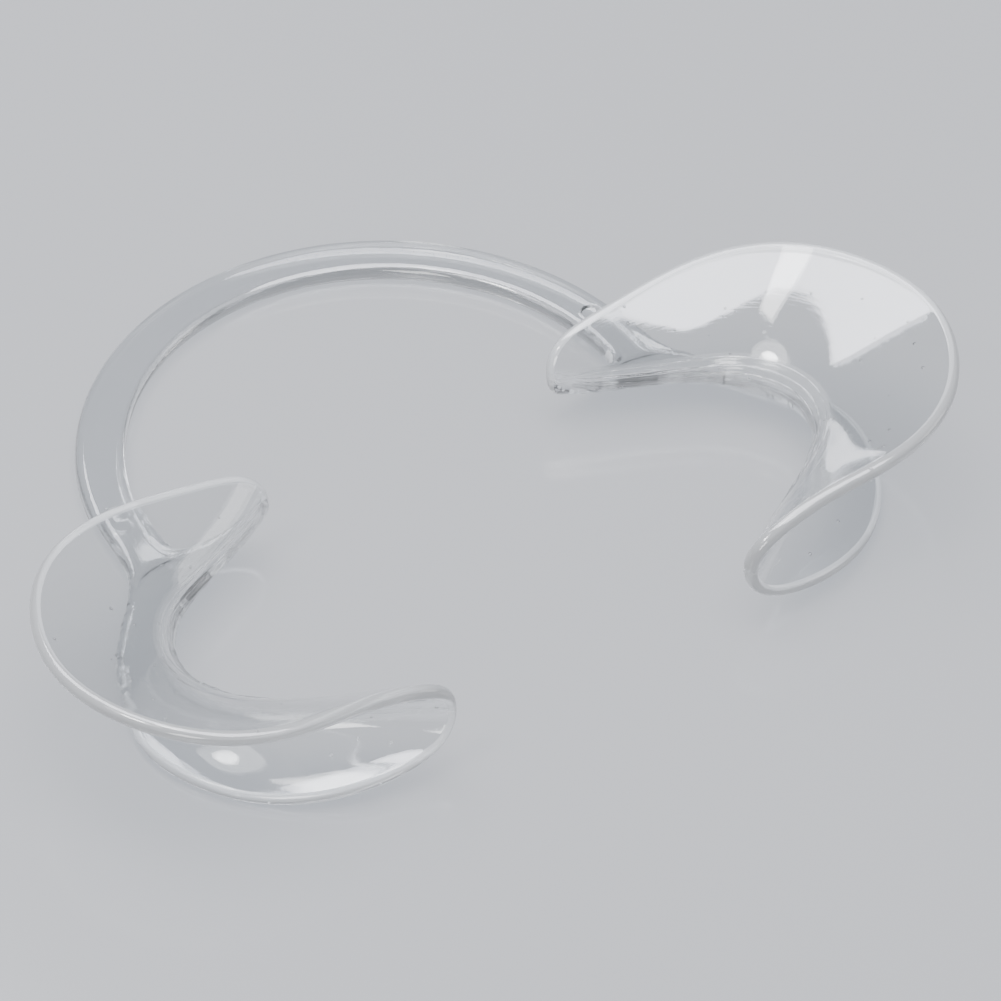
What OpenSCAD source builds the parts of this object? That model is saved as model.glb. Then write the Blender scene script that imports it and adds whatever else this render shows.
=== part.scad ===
// Bow-type cheek retractor, one clear moulding: a flat spring bow that carries
// two mirrored ends, each a saddle-shaped sheet with a groove for the lip.
// +Z is up from the table, +X is the right end, the bow's crown points to +Y.

/* [Bow] */
// Radius of the bow's centre line
bow_r = 34.2; // [33.5:0.1:34.8]
// Width of the bow across its arc
bow_w = 6; // [5.5:0.1:6.5]
// Thickness of the bow
bow_t = 2.4; // [2.2:0.1:2.8]
// Height of the bow's underside over the table
bow_lift = 0.3; // [0.2:0.1:0.6]
// Angle from the crown to where the bow bends most
flex_angle = 37; // [33:1:42]
// Play between the crown and an arm at the bending place
flex_gap = 0.3; // [0.25:0.05:0.4]
// Diameter of the ejector-pin mark near each end of the bow
pin_mark_d = 2.2; // [1.8:0.1:2.4]
// Depth of that mark
pin_mark_depth = 0.25; // [0.15:0.05:0.4]

/* [Ends] */
// Distance from the mirror plane to the tips of an end
tip_x = 20; // [19:0.5:21]
// How far an end reaches outwards from its tips
end_reach = 40; // [38:0.5:42]
// Distance between the two tips of one end
end_span = 40.6; // [39:0.2:42]
// Distance of the middle of an end from the frame's X axis, on the open side
end_back = 20.2; // [19.9:0.1:20.5]
// Height of the tips' middle over the table
tip_height = 7.8; // [7:0.1:8.5]
// Height of the inner flange's edge at its highest, before rounding
crest_height = 17; // [16:0.2:18]
// Wall thickness of the flanges and the web
sheet_t = 1.8; // [1.6:0.1:2]

/* [Hidden] */

// The bow
bow_centre_y = 4.6;
arm_end_angle = 84;
pin_mark_angle = 79;
bow_z = bow_lift + bow_t / 2;
hinge_x = bow_r * sin(flex_angle);
hinge_y = bow_centre_y + bow_r * cos(flex_angle);
head_step = 0.3;
round_fn = 64;
bow_fn = 180;
clear_plastic = [0.86, 0.9, 0.95];

// The rim of an end is a closed smooth curve. Each point steers it:
// [share of end_reach outwards, share of half the span, height].
// The first half runs over the inner flange from the far tip to the near tip,
// the second half comes back along the outer flange, which lies on the table.
half_t = sheet_t / 2;
rim_steer = [
    [0.00, 0.985, 0.92 * tip_height],
    [0.035, 1.075, 0.63 * crest_height],
    [0.24, 1.06, 0.73 * crest_height],
    [0.535, 1.075, 0.86 * crest_height],
    [0.805, 0.86, 0.92 * crest_height],
    [0.97, 0.33, 0.955 * crest_height],
    [0.98, -0.235, 0.995 * crest_height],
    [0.815, -0.77, 0.985 * crest_height],
    [0.565, -0.98, 0.905 * crest_height],
    [0.275, -0.945, 0.85 * crest_height],
    [0.05, -0.985, 0.725 * crest_height],
    [0.005, -0.95, 1.05 * tip_height],
    [0.045, -1.01, 0.5 * tip_height],
    [0.28, -1.035, 0.35 * tip_height],
    [0.53, -0.80, half_t],
    [0.69, -0.40, half_t],
    [0.74, 0.035, half_t],
    [0.66, 0.395, half_t],
    [0.56, 0.76, 1.6],
    [0.415, 1.135, 1.5],
    [0.21, 1.045, 0.26 * tip_height],
    [0.03, 1.04, 0.47 * tip_height]
];
// The throat is the line along which the sheet turns from one flange into
// the other, a rounded V in plan. Same kind of points, without the two tips.
throat_steer = [
    [0.11, 0.89, 6.8],
    [0.30, 0.72, 6.6],
    [0.51, 0.52, 7.2],
    [0.62, 0.09, 7.9],
    [0.545, -0.30, 7.8],
    [0.34, -0.57, 7.6],
    [0.15, -0.80, 7.6]
];
// Sharpness of the sheet's cross-section, at the tips and at the elbow
tip_sharpness = 1.0;
elbow_sharpness = 2.3;

// Where the sheet's parts meet, as a share of the way from the outer rim (0)
// to the inner rim (1)
web_from = 0.34;
web_to = 0.64;
// The sheet starts and ends this little inside its tips
tip_inset = 0.006;
along_steps = 66;
// The bow's root joins the outer rim between these two steps
root_first = 17;
root_last = 23;
root_steps = root_last - root_first;
root_rings = 12;
root_pull = 8;
rim_sides = 6;

// A point of a uniform cubic B-spline between its second and third points
function spline(a, b, c, d, f) =
    (pow(1 - f, 3) * a + (3 * pow(f, 3) - 6 * f * f + 4) * b
     + (-3 * pow(f, 3) + 3 * f * f + 3 * f + 1) * c + pow(f, 3) * d) / 6;

function place(p) =
    [tip_x + p[0] * end_reach, p[1] * end_span / 2 - end_back, p[2]];

rim_points = [for (p = rim_steer) place(p)];
rim_count = len(rim_points);
half_loop = rim_count / 2;

// The rim at s, which counts points round the loop
function rim_at(s) =
    let (i = floor(s), f = s - i, n = rim_count)
    spline(rim_points[(i - 1 + n) % n], rim_points[(i + n) % n],
           rim_points[(i + 1 + n) % n], rim_points[(i + 2 + n) % n], f);

far_tip = rim_at(0);
near_tip = rim_at(half_loop);
throat_inner = [for (p = throat_steer) place(p)];
throat_last = len(throat_inner) - 1;
throat_points = concat(
    [2 * far_tip - throat_inner[0], far_tip],
    throat_inner,
    [near_tip, 2 * near_tip - throat_inner[throat_last]]);

// The throat at u, from the far tip (0) to the near tip (1)
function throat_at(u) =
    let (m = throat_last + 2, s = u * m, i = min(floor(s), m - 1), f = s - i)
    spline(throat_points[i], throat_points[i + 1],
           throat_points[i + 2], throat_points[i + 3], f);

// The sheet's middle surface: across it, at each u, a conic arc that runs from
// the outer rim (v = 0) round the throat to the inner rim (v = 1)
function sheet_at(u, v) =
    let (inner = rim_at(half_loop * u),
         outer = rim_at(rim_count - half_loop * u),
         w = tip_sharpness
             + (elbow_sharpness - tip_sharpness) * pow(sin(180 * u), 2),
         corner = ((1 + w) * throat_at(u) - (inner + outer) / 2) / w,
         k0 = pow(1 - v, 2), k1 = 2 * w * v * (1 - v), k2 = v * v)
    (k0 * outer + k1 * corner + k2 * inner) / (k0 + k1 + k2);

function unit(a) = a / norm(a);
step = 0.002;
function along(u, v) = unit(sheet_at(u + step, v) - sheet_at(u - step, v));
function across(u, v) = unit(sheet_at(u, v + step) - sheet_at(u, v - step));
// The side of the sheet that faces the mouth
function facing(u, v) = unit(cross(along(u, v), across(u, v)));

// Steps along the sheet, closer together near the tips
function along_at(i) =
    let (t = i / along_steps)
    tip_inset + (1 - 2 * tip_inset) * (t / 2 + (1 - cos(180 * t)) / 4);
steps_u = [for (i = [0 : along_steps]) along_at(i)];

// Faces of a tube of `rings` rings of `sides` points each, with both ends.
// swap splits the side that closes a ring the other way, so that its
// triangles match those of the piece that it touches.
function tube_faces(rings, sides, swap) = concat(
    [[for (j = [sides - 1 : -1 : 0]) j]],
    [for (i = [0 : rings - 2], j = [0 : sides - 1])
        let (a = i * sides + j, b = i * sides + (j + 1) % sides)
        each j < sides - 1 || !swap
            ? [[a, b, b + sides], [a, b + sides, a + sides]]
            : [[a, b, a + sides], [b, b + sides, a + sides]]],
    [[for (j = [0 : sides - 1]) (rings - 1) * sides + j]]);

// A stretch of the sheet between two shares of its width
module sheet_part(v0, v1, steps) {
    vs = [for (j = [0 : steps]) v0 + (v1 - v0) * j / steps];
    rings = [for (u = steps_u)
        concat(
            [for (v = vs) sheet_at(u, v) + half_t * facing(u, v)],
            [for (j = [steps : -1 : 0])
                sheet_at(u, vs[j]) - half_t * facing(u, vs[j])])];
    polyhedron(
        [for (ring = rings, p = ring) p],
        tube_faces(len(rings), 2 * (steps + 1), true),
        convexity = 8);
}

// The half-round edge at one place of the rim, v being 0 or 1
function edge_out(u, v) =
    cross(facing(u, v), along(u, v)) * (v == 0 ? -1 : 1);
function edge_ring(u, v) =
    let (p = sheet_at(u, v), n = facing(u, v), out = edge_out(u, v))
    [for (j = [0 : rim_sides])
        let (a = 180 * j / rim_sides) p + half_t * (cos(a) * n + sin(a) * out)];

module edge_tube(rings, swap) {
    polyhedron(
        [for (ring = rings, p = ring) p],
        tube_faces(len(rings), rim_sides + 1, swap),
        convexity = 8);
}

// The bow's section: a bar with fully rounded edges, lying flat
module bow_section() {
    translate([bow_r, bow_z]) {
        square([bow_w - bow_t, bow_t], center = true);
        for (side = [-1, 1])
            translate([side * (bow_w - bow_t) / 2, 0])
                circle(d = bow_t, $fn = round_fn);
    }
}

// A stretch of the bow, its angles counted from the crown towards +X
module bow_arc(from, to) {
    translate([0, bow_centre_y, 0])
        rotate([0, 0, 90 - to])
            rotate_extrude(angle = to - from, $fn = bow_fn)
                bow_section();
}

// The middle of the bow, hollowed at both ends for the arms' round heads
module bow_crown() {
    color(clear_plastic)
        difference() {
            bow_arc(-flex_angle, flex_angle);
            for (side = [-1, 1])
                translate([side * hinge_x, hinge_y, bow_z])
                    cylinder(r = bow_w / 2 + flex_gap, h = 2 * bow_t,
                             center = true, $fn = round_fn);
        }
}

// The round head of an arm, on the axis about which the arm flexes. It is a
// little narrower than the bow, whose flat end it stands out from.
module arm_head() {
    reach = (bow_w - bow_t) / 2 - head_step;
    translate([hinge_x, hinge_y, bow_z])
        rotate_extrude($fn = round_fn) {
            translate([0, -bow_t / 2])
                square([reach, bow_t]);
            translate([reach, 0])
                circle(d = bow_t, $fn = round_fn);
        }
}

module bow_arm() {
    mark_x = bow_r * sin(pin_mark_angle);
    mark_y = bow_centre_y + bow_r * cos(pin_mark_angle);
    difference() {
        union() {
            bow_arc(flex_angle, arm_end_angle);
            arm_head();
        }
        translate([mark_x, mark_y, bow_z + bow_t / 2 - pin_mark_depth])
            cylinder(d = pin_mark_d, h = 1, $fn = round_fn);
    }
}

// Half of the bow's section at an arm's end: from the inner edge over the top
// (side = 1) or along the bottom (side = -1) to the outer edge
function arm_end_half(side) =
    let (a = arm_end_angle, cap = 2, flat = root_steps - 2 * cap,
         reach = (bow_w - bow_t) / 2,
         radial = [sin(a), cos(a), 0],
         centre = [0, bow_centre_y, bow_z] + bow_r * radial)
    [for (j = [0 : root_steps])
        let (turn = j < cap ? 150 - 30 * j
                 : j > root_steps - cap ? 30 * (root_steps - j) + 30 : 90,
             shift = j < cap ? -reach
                 : j > root_steps - cap ? reach
                 : reach * (2 * (j - cap) / flat - 1))
        centre + radial * (shift + bow_t / 2 * cos(turn))
            + [0, 0, side * bow_t / 2 * sin(turn)]];

// The curve of one corner line of the root, from the sheet to the arm
function root_line(from, leave, to, arrive, t) =
    (2 * pow(t, 3) - 3 * t * t + 1) * from
    + (pow(t, 3) - 2 * t * t + t) * root_pull * leave
    + (3 * t * t - 2 * pow(t, 3)) * to
    + (pow(t, 3) - t * t) * root_pull * arrive;

// The root: the bow widens and runs into the outer flange's edge
module bow_root() {
    us = [for (i = [root_first : root_last]) steps_u[i]];
    level = [for (u = us) let (o = edge_out(u, 0)) unit([o[0], o[1], 0])];
    arm_dir = [-cos(arm_end_angle), sin(arm_end_angle), 0];
    arm_top = arm_end_half(1);
    arm_bottom = arm_end_half(-1);
    rings = [for (k = [0 : root_rings])
        let (t = k / root_rings)
        concat(
            [for (i = [0 : root_steps])
                root_line(sheet_at(us[i], 0) - half_t * facing(us[i], 0),
                          level[i], arm_top[i], arm_dir, t)],
            [for (i = [root_steps : -1 : 0])
                root_line(sheet_at(us[i], 0) + half_t * facing(us[i], 0),
                          level[i], arm_bottom[i], arm_dir, t)])];
    sides = 2 * (root_steps + 1);
    last = root_rings * sides;
    skin = [for (k = [0 : root_rings - 1], j = [0 : sides - 1])
        let (a = k * sides + j, b = k * sides + (j + 1) % sides)
        each [[a, b + sides, b], [a, a + sides, b + sides]]];
    sheet_end = [for (i = [0 : root_steps - 1])
        let (under = sides - 1 - i)
        each [[i, i + 1, under], [i + 1, under - 1, under]]];
    arm_end = [[for (j = [sides - 1 : -1 : 0]) last + j]];
    polyhedron([for (ring = rings, p = ring) p],
               concat(skin, sheet_end, arm_end), convexity = 6);
}

module web() {
    sheet_part(web_from, web_to, 6);
}

// The larger flange, which goes inside the cheek
module inner_flange() {
    sheet_part(web_to, 1, 8);
}

// The smaller flange, which stays outside, in front of the lip
module outer_flange() {
    sheet_part(0, web_from, 5);
}

// The inner flange's edge, from tip to tip
module inner_rim() {
    edge_tube([for (u = steps_u) edge_ring(u, 1)], true);
}

// The outer flange's edge: from the bow's root round the far tip, and from
// the near tip back to the root
module outer_rim() {
    last = along_steps;
    edge_tube(concat(
        [for (i = [root_first : -1 : 0]) edge_ring(steps_u[i], 0)],
        [edge_ring(steps_u[0], 1)]), false);
    edge_tube(concat(
        [edge_ring(steps_u[last], 1)],
        [for (i = [last : -1 : root_last]) edge_ring(steps_u[i], 0)]), false);
}

// A piece of the right end, or its mirror image on the left
module on_side(side) {
    color(clear_plastic)
        mirror([side < 0 ? 1 : 0, 0, 0])
            children();
}

bow_crown();
on_side(-1) bow_arm();  // bow_arm_left
on_side(1) bow_arm();  // bow_arm_right
on_side(-1) bow_root();  // bow_root_left
on_side(1) bow_root();  // bow_root_right
on_side(-1) web();  // web_left
on_side(1) web();  // web_right
on_side(-1) inner_flange();  // inner_flange_left
on_side(1) inner_flange();  // inner_flange_right
on_side(-1) outer_flange();  // outer_flange_left
on_side(1) outer_flange();  // outer_flange_right
on_side(-1) inner_rim();  // inner_rim_left
on_side(1) inner_rim();  // inner_rim_right
on_side(-1) outer_rim();  // outer_rim_left
on_side(1) outer_rim();  // outer_rim_right
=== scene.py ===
"""Looks for a clear, one-shot moulded cheek retractor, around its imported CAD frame.

The object is a flat spring bow with a saddle-shaped, grooved lip holder at each
end. Every region is its own closed piece. Where two regions meet, their faces
inside the plastic are fully see-through, so that light takes the moulding as one.
Shapes are worked out in millimetres and go into Blender in metres.
"""

import math

import bpy
import numpy as np
from mathutils import Matrix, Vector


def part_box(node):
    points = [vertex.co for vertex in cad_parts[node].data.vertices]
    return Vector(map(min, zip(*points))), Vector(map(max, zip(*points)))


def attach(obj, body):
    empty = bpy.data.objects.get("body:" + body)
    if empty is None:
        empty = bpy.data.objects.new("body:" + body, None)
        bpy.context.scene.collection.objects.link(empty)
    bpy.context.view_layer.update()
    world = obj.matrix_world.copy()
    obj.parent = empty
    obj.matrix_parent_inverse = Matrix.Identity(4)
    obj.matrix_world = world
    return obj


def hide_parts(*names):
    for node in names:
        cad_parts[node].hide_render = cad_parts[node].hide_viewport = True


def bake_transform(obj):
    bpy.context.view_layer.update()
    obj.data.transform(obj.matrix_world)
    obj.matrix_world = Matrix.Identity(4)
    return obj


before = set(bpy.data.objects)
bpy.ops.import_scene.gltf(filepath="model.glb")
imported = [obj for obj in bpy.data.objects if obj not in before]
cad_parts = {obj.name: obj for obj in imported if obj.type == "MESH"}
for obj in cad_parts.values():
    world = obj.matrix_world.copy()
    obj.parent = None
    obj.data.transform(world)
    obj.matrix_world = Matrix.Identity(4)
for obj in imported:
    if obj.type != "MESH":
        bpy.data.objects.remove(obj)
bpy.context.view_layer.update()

MM = 0.001

# ---------------------------------------------------------------- the ends' shape

TIP_X = 20.0  # from the mirror plane to the tips of an end
REACH = 40.0  # from the tips outwards
SPAN = 40.6  # between the two tips
BACK = 20.2  # from the frame's X axis to the middle of an end
TIP_H = 7.8
CREST = 17.0
HALF_T = 0.9  # half of the wall thickness

# The closed rim of an end: share of REACH, share of half of SPAN, height
RIM = [
    (0.00, 0.985, 0.92 * TIP_H), (0.035, 1.075, 0.63 * CREST),
    (0.24, 1.06, 0.73 * CREST), (0.535, 1.075, 0.86 * CREST),
    (0.805, 0.86, 0.92 * CREST), (0.97, 0.33, 0.955 * CREST),
    (0.98, -0.235, 0.995 * CREST), (0.815, -0.77, 0.985 * CREST),
    (0.565, -0.98, 0.905 * CREST), (0.275, -0.945, 0.85 * CREST),
    (0.05, -0.985, 0.725 * CREST), (0.005, -0.95, 1.05 * TIP_H),
    (0.045, -1.01, 0.5 * TIP_H), (0.28, -1.035, 0.35 * TIP_H),
    (0.53, -0.80, HALF_T), (0.69, -0.40, HALF_T), (0.74, 0.035, HALF_T),
    (0.66, 0.395, HALF_T), (0.56, 0.76, 1.6), (0.415, 1.135, 1.5),
    (0.21, 1.045, 0.26 * TIP_H), (0.03, 1.04, 0.47 * TIP_H),
]
# The throat, along which the sheet turns from one flange into the other
THROAT = [
    (0.11, 0.89, 6.8), (0.30, 0.72, 6.6), (0.51, 0.52, 7.2), (0.62, 0.09, 7.9),
    (0.545, -0.30, 7.8), (0.34, -0.57, 7.6), (0.15, -0.80, 7.6),
]
TIP_SHARPNESS, ELBOW_SHARPNESS = 1.0, 2.3
WEB_FROM, WEB_TO = 0.34, 0.64
TIP_INSET = 0.006
ROOT_FIRST, ROOT_LAST = 0.175, 0.305  # where the bow runs into the rim

# ---------------------------------------------------------------- the bow's shape

BOW_W, BOW_T = 6.0, 2.4
BOW_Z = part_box("bow_crown")[0].z / MM + BOW_T / 2
BOW_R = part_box("bow_arm_right")[1].x / MM - BOW_W / 2
BOW_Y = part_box("bow_crown")[1].y / MM - BOW_R - BOW_W / 2
CROWN_END = 8.0
ARM_END = 84.0
PIN_ANGLE = 79.0
PIN_R, PIN_DEPTH = 1.1, 0.35

# ---------------------------------------------------------------- how fine

ARC = 15  # segments in a half-round edge
FLAT = 32  # segments across the flat of the bow
STEP = 0.002  # share of a line between the places that give its direction


def spline(points, s):
    """Points of a uniform cubic B-spline, with s counting its points."""
    i = np.floor(s).astype(int)
    f = (s - i)[..., None]
    a, b, c, d = (points[(i + k) % len(points)] for k in (-1, 0, 1, 2))
    return ((1 - f) ** 3 * a + (3 * f**3 - 6 * f**2 + 4) * b
            + (-3 * f**3 + 3 * f**2 + 3 * f + 1) * c + f**3 * d) / 6


def placed(steer):
    return np.array([(TIP_X + x * REACH, y * SPAN / 2 - BACK, z) for x, y, z in steer])


rim_points = placed(RIM)
half_loop = len(RIM) / 2
far_tip = spline(rim_points, np.array(0.0))
near_tip = spline(rim_points, np.array(half_loop))
throat_inner = placed(THROAT)
throat_points = np.vstack([2 * far_tip - throat_inner[0], far_tip, throat_inner,
                           near_tip, 2 * near_tip - throat_inner[-1]])


def unit(a):
    return a / np.linalg.norm(a, axis=-1, keepdims=True)


def smooth(x):
    x = np.clip(x, 0, 1)
    return x * x * (3 - 2 * x)


def ripple(x, seed):
    """An uneven wave between about -1 and 1, the same on every run."""
    total = 0
    for k in range(6):
        rate = 1.0 + 0.83 * k + 0.19 * math.sin(seed + 3.1 * k)
        total = total + np.sin(x * rate * 6.283 + seed * 1.7 + 2.4 * k * k) / (1 + 0.35 * k)
    return total / 2.6


def sheet(u, v):
    """The sheet's middle surface, from the outer rim (v = 0) to the inner (v = 1)."""
    u, v = np.broadcast_arrays(u, v)
    inner = spline(rim_points, half_loop * u)
    outer = spline(rim_points, len(RIM) - half_loop * u)
    w = (TIP_SHARPNESS
         + (ELBOW_SHARPNESS - TIP_SHARPNESS) * np.sin(np.pi * u) ** 2)[..., None]
    throat = spline(throat_points, 1 + (len(THROAT) + 1) * u)
    corner = ((1 + w) * throat - (inner + outer) / 2) / w
    v = v[..., None]
    k0, k1, k2 = (1 - v) ** 2, 2 * w * v * (1 - v), v * v
    return (k0 * outer + k1 * corner + k2 * inner) / (k0 + k1 + k2)


# The outer edge between the bow and a shoulder near the elbow is trimmed by hand:
# it stands in or out a little, unevenly, and differs from end to end.
TRIM = {
    "right": [(0.30, 0.0), (0.325, -0.32), (0.38, -0.42), (0.44, -0.45), (0.485, -0.38),
              (0.497, -0.05), (0.52, 0.0)],
    "left": [(0.30, 0.0), (0.33, -0.55), (0.37, -0.1), (0.41, 0.5), (0.455, 0.55),
             (0.485, 0.05), (0.51, -0.42), (0.56, -0.1), (0.60, 0.0)],
}
TRIM_SEED = {"right": 4, "left": 9}
NEAR_TRIM_DEPTH, FAR_TRIM_DEPTH = 0.13, 0.07  # millimetres of roughness
FAR_TRIM_FROM, NEAR_TRIM_TO = 0.06, 0.488

# Towards the near tip, the smaller flange levels out into a narrow lip: how much
# along its length and more at the elbow, in millimetres a unit of v, and its width
LIP_FALL, ELBOW_FALL, LIP_WIDTH = 3.6, 9.0, 0.09


def trim(u, side):
    """How far the outer edge stands out at u, in millimetres."""
    at, out = np.array(TRIM[side]).T
    push = sum(np.interp(u + d, at, out) for d in (-0.008, -0.004, 0, 0.004, 0.008)) / 5
    near = smooth((u - 0.305) / 0.02) * (1 - smooth((u - 0.485) / 0.02))
    far = smooth((u - 0.03) / 0.05) * (1 - smooth((u - 0.165) / 0.01))
    depth = NEAR_TRIM_DEPTH * near + FAR_TRIM_DEPTH * far
    return push + depth * ripple(u * 38, TRIM_SEED[side])


def plain_edge_out(u):
    """The way out of the untrimmed outer edge, in the sheet."""
    along = unit(sheet(u + STEP, 0) - sheet(u - STEP, 0))
    across = unit(sheet(u, 2 * STEP) - sheet(u, 0))
    return -np.cross(unit(np.cross(along, across)), along)


def skin(u, v, side):
    """The middle surface with the trimmed edge and the level lip."""
    u, v = np.broadcast_arrays(u, v)
    push = (trim(u, side) * (1 - smooth(v / 0.13)))[..., None]
    p = sheet(u, v) + push * plain_edge_out(u)
    level = smooth((u - 0.50) / 0.09) * (1 - smooth((u - 0.80) / 0.12))
    elbow = smooth((u - 0.49) / 0.05) * (1 - smooth((u - 0.58) / 0.10))
    fall = LIP_FALL * level + ELBOW_FALL * elbow
    p[..., 2] -= fall * v * np.exp(-((v / LIP_WIDTH) ** 2))
    p[..., 2] = np.maximum(p[..., 2], HALF_T)  # never under what it lies on
    return p


def frames(u, v, side):
    """Points of the middle surface, with the ways along it and to the mouth."""
    p = skin(u, v, side)
    along = unit(skin(u + STEP, v, side) - skin(u - STEP, v, side))
    across = unit(skin(u, v + STEP, side) - skin(u, v - STEP, side))
    return p, along, unit(np.cross(along, across))


def steps(*stretches):
    """Places along a line, from (start, end, how many, low, high) stretches. With
    low or high at 1, they lie closer together near the start or the end."""
    found = []
    for a, b, n, low, high in stretches:
        t = np.linspace(0, 1, n + 1)
        t = t + 0.3 * np.sin(np.pi * t) * (high * t - low * (1 - t))
        found.append(a + (b - a) * t[(1 if found else 0):])
    return np.concatenate(found)


BEFORE_ROOT = 46  # steps from the far tip to the bow
U = steps((TIP_INSET, ROOT_FIRST, BEFORE_ROOT, 1, 0), (ROOT_FIRST, ROOT_LAST, FLAT, 0, 0),
          (ROOT_LAST, 0.51, 66, 0, 0), (0.51, 1 - TIP_INSET, 112, 0, 1))
ROOT_U = slice(BEFORE_ROOT, BEFORE_ROOT + FLAT + 1)


def ridged(start, end, count, ridges):
    """Shares across the sheet, with extra ones at each ridge."""
    extra = [r + d for r in ridges for d in (-0.010, -0.005, 0, 0.005, 0.010)]
    plain = [v for v in np.linspace(start, end, count + 1)
             if all(abs(v - e) > 0.004 for e in extra) or v in (start, end)]
    return np.array(sorted(plain + [e for e in extra if start < e < end]))


# The mould's parting land runs along the throat between two ridges, with a fainter
# one each side: place across the sheet, height in millimetres
RIDGES = ((0.465, 0.15), (0.535, 0.15), (0.385, 0.06), (0.605, 0.07))
RIDGE_WIDTH = 0.0045
ACROSS = {
    "outer_flange": ridged(0, WEB_FROM, 20, []),
    "web": ridged(WEB_FROM, WEB_TO, 22, [r for r, _ in RIDGES]),
    "inner_flange": ridged(WEB_TO, 1, 30, []),
}


def thickness(u, v, seed):
    """From the middle surface to the mouth's side, with the uneven ridges."""
    t = HALF_T + 0 * u
    fade = smooth((u - 0.05) / 0.1) * smooth((0.96 - u) / 0.1)
    for at, height in RIDGES:
        uneven = 1 + 0.5 * ripple(u * 9, seed + at)
        t = t + height * uneven * fade * np.exp(-(((v - at) / RIDGE_WIDTH) ** 2))
    return t


SHOWN, HIDDEN, TRIMMED, CLEAR = 0, 1, 2, 3  # material slots of a piece


def tube(rings, inside=(), shown=SHOWN):
    """One closed shell: vertices, quads, their material slots and a flow map.
    inside names the ring's sides that lie in the plastic, and shown is the slot of
    the others, or the slot of each, ring by ring and side by side."""
    count, size = rings.shape[:2]
    index = np.arange(count * size).reshape(count, size)
    ahead = np.roll(index, -1, 1)
    quads = np.stack([index[:-1], ahead[:-1], ahead[1:], index[1:]], -1)
    slots = np.array(np.broadcast_to(shown, (count - 1, size)))
    slots[:, list(inside)] = HIDDEN
    k = np.arange(size // 2 - 1)
    caps = [np.stack([row[k], row[k + 1], row[size - 2 - k], row[size - 1 - k]], -1)
            for row in (index[0], index[-1])]
    caps[0] = caps[0][:, ::-1]
    quads = np.concatenate([quads.reshape(-1, 4)] + caps)
    slots = np.concatenate([slots.ravel(), np.full(2 * len(k), HIDDEN)])
    lengths = np.linalg.norm(np.diff(rings, axis=0), axis=2).mean(1)
    girth = np.linalg.norm(np.diff(rings, axis=1), axis=2).mean(0)
    flow = np.stack(np.meshgrid(np.r_[0, np.cumsum(lengths)],
                                np.r_[0, np.cumsum(girth)], indexing="ij"), -1)
    return rings.reshape(-1, 3), quads, slots, flow.reshape(-1, 2)


def merged(*shells):
    """Several shells as the parts of one piece."""
    start, quads = 0, []
    for shell in shells:
        quads.append(shell[1] + start)
        start += len(shell[0])
    return (np.concatenate([s[0] for s in shells]), np.concatenate(quads),
            np.concatenate([s[2] for s in shells]), np.concatenate([s[3] for s in shells]))


# ---------------------------------------------------------------- the ends' pieces


def sheet_piece(v, side, seed):
    """A stretch of the sheet: mouth's side first, then back on the other side."""
    uu, vv = np.meshgrid(U, v, indexing="ij")
    p, _, facing = frames(uu, vv, side)
    t = thickness(uu, vv, seed)[..., None]
    rings = np.concatenate([p + t * facing, (p - HALF_T * facing)[:, ::-1]], 1)
    n = len(v)
    return tube(rings, inside=(n - 1, 2 * n - 1))


TURN = np.linspace(0, np.pi, ARC + 1)
# The parting line shows as a low ridge round the middle of every edge
PARTING_RISE, PARTING_WIDTH = 0.035, 0.13
EDGE = 1 + PARTING_RISE * np.exp(-(((TURN - np.pi / 2) / PARTING_WIDTH) ** 2))


def half_round(p, facing, out, reach=0.0):
    """Rings of the rounded edge: from the mouth's side over to the other."""
    a = TURN[:, None]
    reach = np.asarray(reach)[..., None, None]
    return (p[:, None] + HALF_T * np.cos(a) * facing[:, None]
            + (HALF_T * EDGE[:, None] + reach) * np.sin(a) * out[:, None])


def edge_rings(u, v, side):
    p, along, facing = frames(u, np.full_like(u, v), side)
    out = np.cross(facing, along) * (-1 if v == 0 else 1)
    return half_round(p, facing, out)


def tip_rings(u, side):
    """The edge where it goes round a tip, from the outer to the inner rim."""
    v = np.concatenate([ACROSS["outer_flange"], ACROSS["web"][1:],
                        ACROSS["inner_flange"][1:]])
    p, along, facing = frames(np.full_like(v, u), v, side)
    ends = [np.cross(facing[i], along[i]) * s for i, s in ((0, -1), (-1, 1))]
    share = v[:, None]
    out = unit((1 - share) * ends[0] + share * ends[1])
    chord = (1 - share) * p[0] + share * p[-1]
    sag = np.maximum(((chord - p) * out).sum(1), 0)
    return half_round(p, facing, out, sag)[1:]


def arris(u, trimmed, width):
    """Slots of an edge's sides. Where it is trimmed, it is a thin, uneven, rough
    line on clear plastic."""
    middle = 0.5 + 0.12 * ripple(u * 31, 5)
    reach = width * (1 + 0.6 * ripple(u * 47, 8))
    side = (np.arange(ARC + 1) + 0.5) / ARC
    line = abs(side - middle[:, None]) < reach[:, None]
    return np.where(trimmed[:, None], np.where(line, TRIMMED, CLEAR), SHOWN)


def outer_rim(side):
    """The smaller flange's edge, in two stretches with the bow between them. They
    run on round the two tips."""
    first, last = ROOT_U.start, ROOT_U.stop - 1
    tips = [tip_rings(U[i], side) for i in (0, -1)]
    far = np.concatenate([edge_rings(U[first::-1], 0, side), tips[0]])
    near = np.concatenate([edge_rings(U[-1:], 1, side), tips[1][-2::-1],
                           edge_rings(U[:last - 1:-1], 0, side)])
    far_u = np.r_[U[first:0:-1], np.zeros(len(far) - 1 - first)]
    near_u = np.r_[np.ones(len(near) + last - len(U)), U[:last:-1]]
    return merged(tube(far, (ARC,), arris(far_u, far_u > FAR_TRIM_FROM, 0.15)),
                  tube(near, (ARC,), arris(near_u, near_u < NEAR_TRIM_TO, 0.1)))


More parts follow.
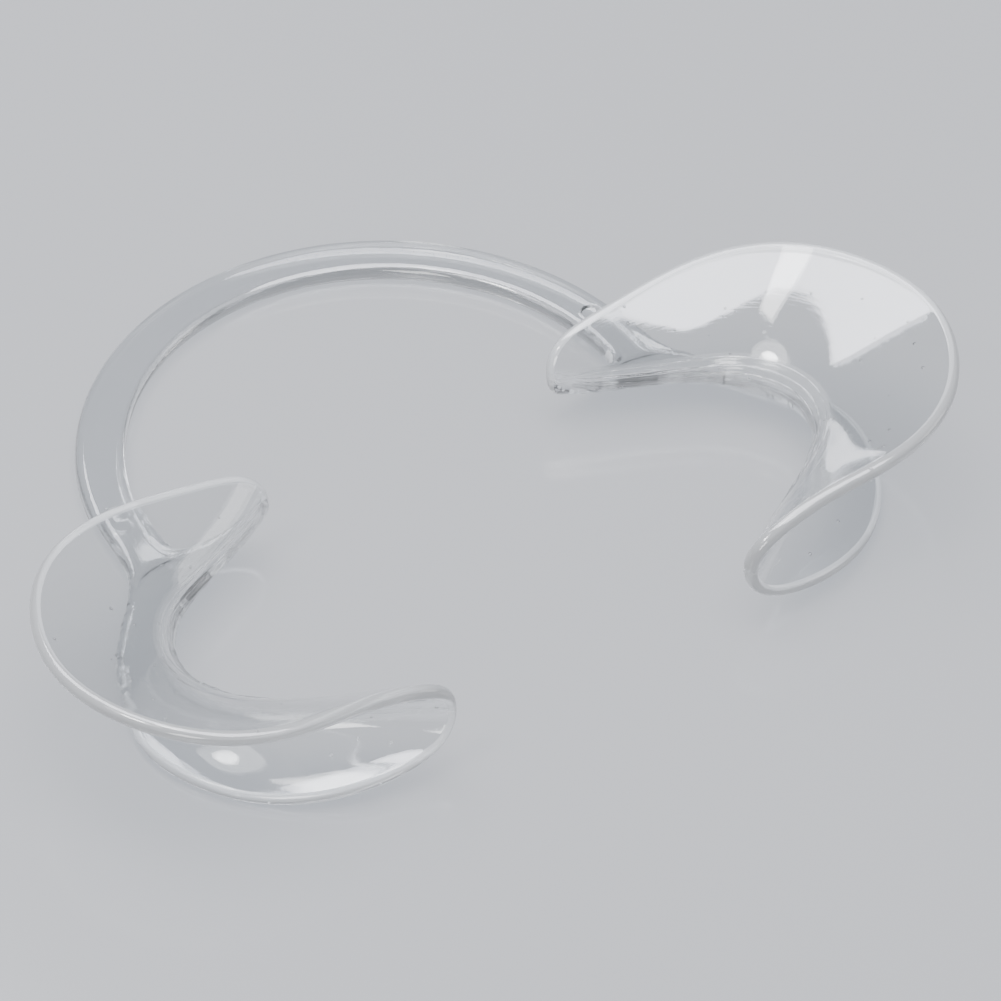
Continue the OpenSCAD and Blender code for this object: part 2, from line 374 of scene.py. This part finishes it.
def hermite(a, leave, b, arrive, t):
    """A curve from a to b that leaves and arrives at these speeds."""
    t = t[:, None]
    return ((2 * t**3 - 3 * t**2 + 1) * a + (t**3 - 2 * t**2 + t) * leave
            + (3 * t**2 - 2 * t**3) * b + (t**3 - t**2) * arrive)


def radial(angle):
    """The way out of the bow's circle, at an angle from its crown."""
    a = np.radians(angle)
    return np.stack([np.sin(a), np.cos(a), 0 * a], -1)


ROOT_STEPS = 30  # along the root, from the end to the bow
FILLET_TRIM, ELBOW_TRIM = 22, 18  # how many of them are trimmed on each side


def root(side):
    """The bow widens in two fillets and runs into the outer flange's edge."""
    u = U[ROOT_U]
    start, along, facing = frames(u, np.zeros_like(u), side)
    out = -np.cross(facing, along)
    arm = unit(radial(np.array(ARM_END - 90.0)))
    shift = np.linspace(-1, 1, FLAT + 1)[:, None] * (BOW_W - BOW_T) / 2
    end = np.array([0, BOW_Y, BOW_Z]) + (BOW_R + shift) * radial(np.array(ARM_END))
    t = np.linspace(0, 1, ROOT_STEPS + 1)
    pull = ((11.0, 16.0), (7.0, 13.0))  # how far each fillet leaves, and arrives
    sides = [hermite(start[i], pull[k][0] * s * along[i], end[i], pull[k][1] * arm, t)
             for k, (i, s) in enumerate(((0, 1), (-1, -1)))]
    w = np.linspace(0, 1, FLAT + 1)
    tt, ww = t[:, None, None], w[None, :, None]
    mid = ((1 - ww) * sides[0][:, None] + ww * sides[1][:, None]
           + (1 - tt) * start[None] + tt * end[None]
           - (1 - tt) * ((1 - ww) * start[0] + ww * start[-1])
           - tt * ((1 - ww) * end[0] + ww * end[-1]))
    # Heights leave along the sheet's slope, so that it runs on without a crease
    turn = np.pi / 2 * (1 - smooth(w / 0.3) * smooth((1 - w) / 0.3))[:, None]
    way = np.where(w[:, None] < 0.5, along, -along)
    slope = (np.cos(turn) * out * 6 + np.sin(turn) * way
             * np.where(w[:, None] < 0.5, pull[0][0], pull[1][0]))[:, 2]
    for j in range(FLAT + 1):
        mid[:, j, 2] = hermite(start[j, 2:], slope[j:j + 1], end[j, 2:],
                               np.zeros(1), t)[:, 0]
    mix = smooth(t)[:, None, None]
    up = np.array([0, 0, 1.0])
    normal = unit((1 - mix) * -facing[None] + mix * up)
    half = HALF_T + (BOW_T / 2 - HALF_T) * mix
    top, bottom = mid + half * normal, mid - half * normal
    a = TURN[1:-1][None, :, None]
    rounds = []
    for j, s in ((0, -1), (-1, 1)):
        line = mid[:, j]
        way = unit(np.gradient(line, t, axis=0, edge_order=2))
        way[0] = along[j] * -s
        way[-1] = arm
        across = unit(np.cross(way, normal[:, j])) * s
        torn = smooth(t / 0.12) * (1 - smooth((t - 0.7) / 0.3)) * ripple(t * 9, 3 + s)
        ridge = EDGE[1:-1][None, :, None] + (0.13 if j == 0 else 0.07) * torn[:, None, None]
        rounds.append(line[:, None] + half * (np.cos(a) * normal[:, j][:, None]
                                              + ridge * np.sin(a) * across[:, None]))
    k = (ARC - 1) // 2
    rings = np.concatenate([rounds[0][:, k - 1::-1], top, rounds[1],
                            bottom[:, ::-1], rounds[0][:, :k - 1:-1]], 1)
    shown = np.full((len(t) - 1, rings.shape[1]), SHOWN)
    shown[:FILLET_TRIM, :4] = shown[:FILLET_TRIM, -5:] = TRIMMED
    middle = k + FLAT + ARC // 2
    shown[:ELBOW_TRIM, middle - 1:middle + 2] = TRIMMED
    return tube(rings, shown=shown)


# ---------------------------------------------------------------- the bow's pieces


def bow_stretch(angles, pin=None):
    """The flat bar with rounded edges, between two angles from the crown."""
    shift = np.linspace(-1, 1, FLAT + 1) * (BOW_W - BOW_T) / 2
    half = BOW_T / 2
    a = TURN[1:-1]
    outer = np.stack([shift[-1] + half * EDGE[1:-1] * np.sin(a), half * np.cos(a)], 1)
    inner = outer * [-1, 1]
    k = (ARC - 1) // 2
    profile = np.concatenate([
        inner[k - 1::-1], np.stack([shift, 0 * shift + half], 1), outer,
        np.stack([shift[::-1], 0 * shift - half], 1), inner[:k - 1:-1]])
    centre = np.array([0, BOW_Y, BOW_Z])
    rings = (centre + (BOW_R + profile[:, 0])[None, :, None] * radial(angles)[:, None]
             + profile[:, 1][None, :, None] * np.array([0, 0, 1.0]))
    if pin is not None:
        mark = centre + BOW_R * radial(np.array(pin))
        away = np.linalg.norm(rings[..., :2] - mark[:2], axis=2)
        dip = PIN_DEPTH * smooth((PIN_R - away) / 0.16 + 0.5)
        burr = 0.09 * np.exp(-(((away - PIN_R - 0.2) / 0.14) ** 2))
        rings[..., 2] += np.where(rings[..., 2] > BOW_Z + half - 0.01, burr - dip, 0)
    return tube(rings)


def arm_angles():
    """Closer together round the pin mark."""
    low, high = PIN_ANGLE - 2.6, PIN_ANGLE + 2.6
    return steps((CROWN_END, low, 90, 0, 0), (low, high, 52, 0, 0), (high, ARM_END, 4, 0, 0))


# ---------------------------------------------------------------- materials


def node(tree, kind, inputs=(), **settings):
    """A shader node, with each input set or linked."""
    made = tree.nodes.new(kind)
    for name, value in settings.items():
        setattr(made, name, value)
    for name, value in dict(inputs).items():
        if isinstance(value, bpy.types.NodeSocket):
            tree.links.new(value, made.inputs[name])
        else:
            made.inputs[name].default_value = value
    return made


def blank(name):
    material = bpy.data.materials.new(name)
    material.use_nodes = True
    material.node_tree.nodes.clear()
    return material, material.node_tree


def ranged(tree, value, low, high, to_low, to_high):
    """The value taken from one range to another."""
    return node(tree, "ShaderNodeMapRange",
                {"Value": value, "From Min": low, "From Max": high,
                 "To Min": to_low, "To Max": to_high}).outputs[0]


def summed(tree, values, operation="ADD"):
    """All the values taken together by one operation."""
    total = values[0]
    for value in values[1:]:
        total = node(tree, "ShaderNodeMath", {0: total, 1: value},
                     operation=operation).outputs[0]
    return total


def clear_plastic(name, haze, streaks, specks, wave, clear, grain=0.012):
    """Clear polished polycarbonate: haze is its least roughness, streaks are flow
    lines along the moulding, specks are fine dust, wave is its unevenness, clear is
    the share of light that it lets through and doesn't scatter (a thin round rim
    traps what it lets in, and would be black at 1), and grain is its fine grain."""
    material, tree = blank(name)
    place = node(tree, "ShaderNodeTexCoord").outputs["Object"]
    flow = node(tree, "ShaderNodeUVMap", uv_map="flow").outputs["UV"]
    broad = node(tree, "ShaderNodeTexNoise",
                 {"Vector": place, "Scale": 70.0, "Detail": 2.0}).outputs[0]
    fine = node(tree, "ShaderNodeTexNoise",
                {"Vector": place, "Scale": 900.0, "Detail": 3.0}).outputs[0]
    stretched = node(tree, "ShaderNodeMapping",
                     {"Vector": flow, "Scale": (0.09, 2.4, 1.0)}).outputs[0]
    lines = node(tree, "ShaderNodeTexNoise",
                 {"Vector": stretched, "Scale": 1.0, "Detail": 4.0,
                  "Distortion": 0.25}).outputs[0]
    cells = node(tree, "ShaderNodeTexVoronoi",
                 {"Vector": place, "Scale": 620.0}, feature="F1")
    tint = node(tree, "ShaderNodeSeparateColor", {"Color": cells.outputs["Color"]})
    chosen = ranged(tree, tint.outputs[0], 1 - specks, 1 - specks + 0.002, 0.0, 1.0)
    dot = ranged(tree, cells.outputs["Distance"], 0.09, 0.14, 1.0, 0.0)
    dust = summed(tree, [chosen, dot], "MULTIPLY")
    roughness = summed(tree, [
        ranged(tree, broad, 0.3, 0.7, haze, haze * 1.9),
        ranged(tree, lines, 0.55, 0.8, 0.0, streaks * 0.12),
        ranged(tree, dust, 0.0, 1.0, 0.0, 0.55)])
    height = summed(tree, [
        ranged(tree, broad, 0.0, 1.0, 0.0, wave),
        ranged(tree, lines, 0.3, 0.7, 0.0, streaks * 0.12),
        ranged(tree, fine, 0.0, 1.0, 0.0, grain),
        ranged(tree, dust, 0.0, 1.0, 0.0, 1.2)])
    bump = node(tree, "ShaderNodeBump",
                {"Strength": 1.0, "Distance": 0.1 * MM, "Height": height}).outputs[0]
    colour = node(tree, "ShaderNodeMix",
                  {"Factor": broad, 6: (0.955, 0.972, 0.985, 1), 7: (0.985, 0.99, 0.995, 1)},
                  data_type="RGBA").outputs[2]
    plastic = node(tree, "ShaderNodeBsdfPrincipled",
                   {"Base Color": colour, "Roughness": roughness, "IOR": 1.585,
                    "Transmission Weight": clear, "Coat Weight": 1.0,
                    "Coat Roughness": 0.03, "Coat IOR": 1.8, "Normal": bump,
                    "Coat Normal": bump})
    # Lamps reach what lies behind the plastic
    path = node(tree, "ShaderNodeLightPath")
    passing = summed(tree, [path.outputs["Is Shadow Ray"], path.outputs["Is Diffuse Ray"]],
                     "MAXIMUM")
    through = node(tree, "ShaderNodeBsdfTransparent", {"Color": (0.88, 0.89, 0.90, 1)})
    mix = node(tree, "ShaderNodeMixShader",
               {0: passing, 1: plastic.outputs[0], 2: through.outputs[0]})
    node(tree, "ShaderNodeOutputMaterial", {"Surface": mix.outputs[0]})
    return material


def see_through(name):
    """For faces inside the plastic, where nothing is seen."""
    material, tree = blank(name)
    clear = node(tree, "ShaderNodeBsdfTransparent", {"Color": (1, 1, 1, 1)})
    node(tree, "ShaderNodeOutputMaterial", {"Surface": clear.outputs[0]})
    return material


LOOKS = {
    "flange": clear_plastic("clear_flange", haze=0.02, streaks=0.15, specks=0.12,
                            wave=0.4, clear=0.985, grain=0.007),
    "web": clear_plastic("clear_web", haze=0.02, streaks=1.5, specks=0.3,
                         wave=0.6, clear=0.88),
    "rim": clear_plastic("clear_rim", haze=0.06, streaks=0.5, specks=0.06,
                         wave=0.5, clear=0.52),
    "bow": clear_plastic("clear_bow", haze=0.02, streaks=0.35, specks=0.02,
                         wave=0.4, clear=0.985),
    "trimmed": clear_plastic("trimmed_edge", haze=0.35, streaks=1.0, specks=0.1,
                             wave=0.8, clear=0.05, grain=0.5),
}
INSIDE = see_through("inside_the_plastic")

# ---------------------------------------------------------------- building


def outward(shell):
    """The same shell with every quad facing out."""
    p, quads, slots, flow = shell
    c = [p[quads[:, i]] for i in range(4)]
    volume = (np.einsum("ij,ij->i", c[0], np.cross(c[1], c[2]))
              + np.einsum("ij,ij->i", c[0], np.cross(c[2], c[3]))).sum()
    return p, quads[:, ::-1] if volume < 0 else quads, slots, flow


def shared_normals(shells):
    """Smooth normals for shells that meet, from all their visible quads."""
    keys, sums = [], []
    for p, quads, slots, _ in shells:
        normal = np.zeros_like(p)
        seen = quads[slots != HIDDEN]
        face = np.cross(p[seen[:, 2]] - p[seen[:, 0]], p[seen[:, 3]] - p[seen[:, 1]])
        for i in range(4):
            np.add.at(normal, seen[:, i], face)
        keys.append(np.round(p * 1e4).astype(np.int64))
        sums.append(normal)
    _, group = np.unique(np.concatenate(keys), axis=0, return_inverse=True)
    group = group.ravel()
    total = np.zeros((group.max() + 1, 3))
    np.add.at(total, group, np.concatenate(sums))
    total = total[group]
    length = np.linalg.norm(total, axis=1, keepdims=True)
    total = np.where(length > 1e-12, total / np.maximum(length, 1e-12), [0, 0, 1.0])
    return np.split(total, np.cumsum([len(s[0]) for s in shells])[:-1])


def piece(name, shell, normals, look, nodes):
    """A mesh object of one shell, in metres, standing for CAD nodes."""
    p, quads, slots, flow = shell
    mesh = bpy.data.meshes.new(name)
    mesh.from_pydata((p * MM).tolist(), [], quads.tolist())
    for material in (LOOKS[look], INSIDE, LOOKS["trimmed"], LOOKS["flange"])[:slots.max() + 1]:
        mesh.materials.append(material)
    mesh.polygons.foreach_set("material_index", slots.astype(np.int32))
    corners = np.zeros(len(mesh.loops), np.int32)
    mesh.loops.foreach_get("vertex_index", corners)
    mesh.uv_layers.new(name="flow").data.foreach_set("uv", flow[corners].ravel())
    mesh.shade_smooth()
    mesh.normals_split_custom_set_from_vertices(normals.tolist())
    mesh.update()
    made = bpy.data.objects.new(name, mesh)
    bpy.context.scene.collection.objects.link(made)
    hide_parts(*nodes)
    return made


def mirrored(shell):
    return (shell[0] * [-1, 1, 1],) + shell[1:]


PARTS = {"web": "web", "inner_flange": "flange", "outer_flange": "flange",
         "inner_rim": "rim", "outer_rim": "rim", "bow_root": "bow", "bow_arm": "bow"}
crown_span = np.linspace(-CROWN_END, CROWN_END, 21)
shells, rides = {}, {}
shells["bow_crown", ""] = outward(bow_stretch(crown_span))
for side in ("right", "left"):
    made = {name: sheet_piece(ACROSS[name], side, 2 if side == "right" else 7)
            for name in ACROSS}
    made["inner_rim"] = tube(edge_rings(U, 1, side), inside=(ARC,))
    made["outer_rim"] = outer_rim(side)
    made["bow_root"] = root(side)
    made["bow_arm"] = bow_stretch(arm_angles(), PIN_ANGLE)
    for name, shell in made.items():
        shells[name, side] = outward(mirrored(shell) if side == "left" else shell)

for (name, side), shell, normals in zip(shells, shells.values(),
                                        shared_normals(list(shells.values()))):
    cad = f"{name}_{side}" if side else name
    look = PARTS.get(name, "bow")
    shown = piece(f"clear_{cad}", shell, normals, look, [cad])
    if name == "bow_arm":
        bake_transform(shown)
    else:
        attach(shown, f"{side}_end" if side else "bow")

# ---------------------------------------------------------------- floor, light, camera

COOL = (0.93, 0.94, 1.0)  # the softbox's slightly blue white


def floor():
    bpy.ops.mesh.primitive_grid_add(x_subdivisions=8, y_subdivisions=8, size=8)
    made = bpy.context.object
    made.name = "floor"
    material, tree = blank("pale_floor")
    place = node(tree, "ShaderNodeTexCoord").outputs["Object"]
    cloud = node(tree, "ShaderNodeTexNoise",
                 {"Vector": place, "Scale": 6.0, "Detail": 3.0}).outputs[0]
    colour = node(tree, "ShaderNodeMix",
                  {"Factor": cloud, 6: (0.47, 0.475, 0.485, 1), 7: (0.49, 0.495, 0.505, 1)},
                  data_type="RGBA").outputs[2]
    surface = node(tree, "ShaderNodeBsdfPrincipled",
                   {"Base Color": colour, "Roughness": 0.12, "IOR": 1.5})
    node(tree, "ShaderNodeOutputMaterial", {"Surface": surface.outputs[0]})
    made.data.materials.append(material)


def lamp(name, centre, size, radiance, turn=0, towards=(0, 0, 0), shape="RECTANGLE",
         colour=(1, 1, 1)):
    """A soft area of light, turned about its own axis, facing a point."""
    data = bpy.data.lights.new(name, "AREA")
    data.shape = shape
    data.color = colour
    data.size, data.size_y = size
    data.energy = radiance * size[0] * size[1] * math.pi
    made = bpy.data.objects.new(name, data)
    back = unit(np.array(centre, float) - np.array(towards, float))
    side_way = unit(np.cross([0.0, 1.0, 0.0], back))
    up = np.cross(back, side_way)
    c, s = math.cos(math.radians(turn)), math.sin(math.radians(turn))
    axes = np.stack([c * side_way + s * up, -s * side_way + c * up, back], 1)
    made.matrix_world = Matrix.Translation(centre) @ Matrix(axes.tolist()).to_4x4()
    bpy.context.scene.collection.objects.link(made)


def camera(azimuth, elevation, roll, distance, target, lens):
    """A camera that looks at target from an azimuth measured from the open side."""
    az, el, r = (math.radians(a) for a in (azimuth, elevation, roll))
    back = np.array([math.sin(az) * math.cos(el), -math.cos(az) * math.cos(el), math.sin(el)])
    right = np.array([math.cos(az), math.sin(az), 0])
    up = np.cross(back, right)
    axes = np.stack([math.cos(r) * right + math.sin(r) * up,
                     -math.sin(r) * right + math.cos(r) * up, back], 1)
    data = bpy.data.cameras.new("camera")
    data.lens, data.sensor_width, data.clip_start = lens, 36, 0.01
    made = bpy.data.objects.new("camera", data)
    place = (np.array(target) + distance * back) * MM
    made.matrix_world = Matrix.Translation(place) @ Matrix(axes.tolist()).to_4x4()
    bpy.context.scene.collection.objects.link(made)
    bpy.context.scene.camera = made


floor()
lamp("softbox", (0.096, 0.10, 1.045), (0.6, 1.59), turn=14, radiance=7.0,
     towards=(0.096, -0.23, 0.095), colour=COOL)
lamp("strip", (-0.10, 0.08, 0.93), (0.13, 0.3), turn=-51, radiance=6.0,
     towards=(-0.10, 0.015, 0))
lamp("spot", (-0.40, 0.007, 0.59), (0.14, 0.14), radiance=14.0, shape="DISK")
lamp("glow", (-0.42, 0.007, 0.62), (0.34, 0.34), radiance=1.6, shape="DISK")
lamp("card", (0.65, -0.42, 0.28), (0.3, 0.3), radiance=1.4)
lamp("fill", (-0.75, -0.75, 0.55), (0.5, 0.4), radiance=5.0)
world = bpy.data.worlds.new("studio")
world.use_nodes = True
background = world.node_tree.nodes["Background"]
background.inputs["Color"].default_value = (0.42, 0.44, 0.47, 1)
background.inputs["Strength"].default_value = 0.75
bpy.context.scene.world = world
camera(azimuth=-34.8, elevation=43.8, roll=1.78, distance=743, target=(7.5, -8.1, 0),
       lens=226.8)
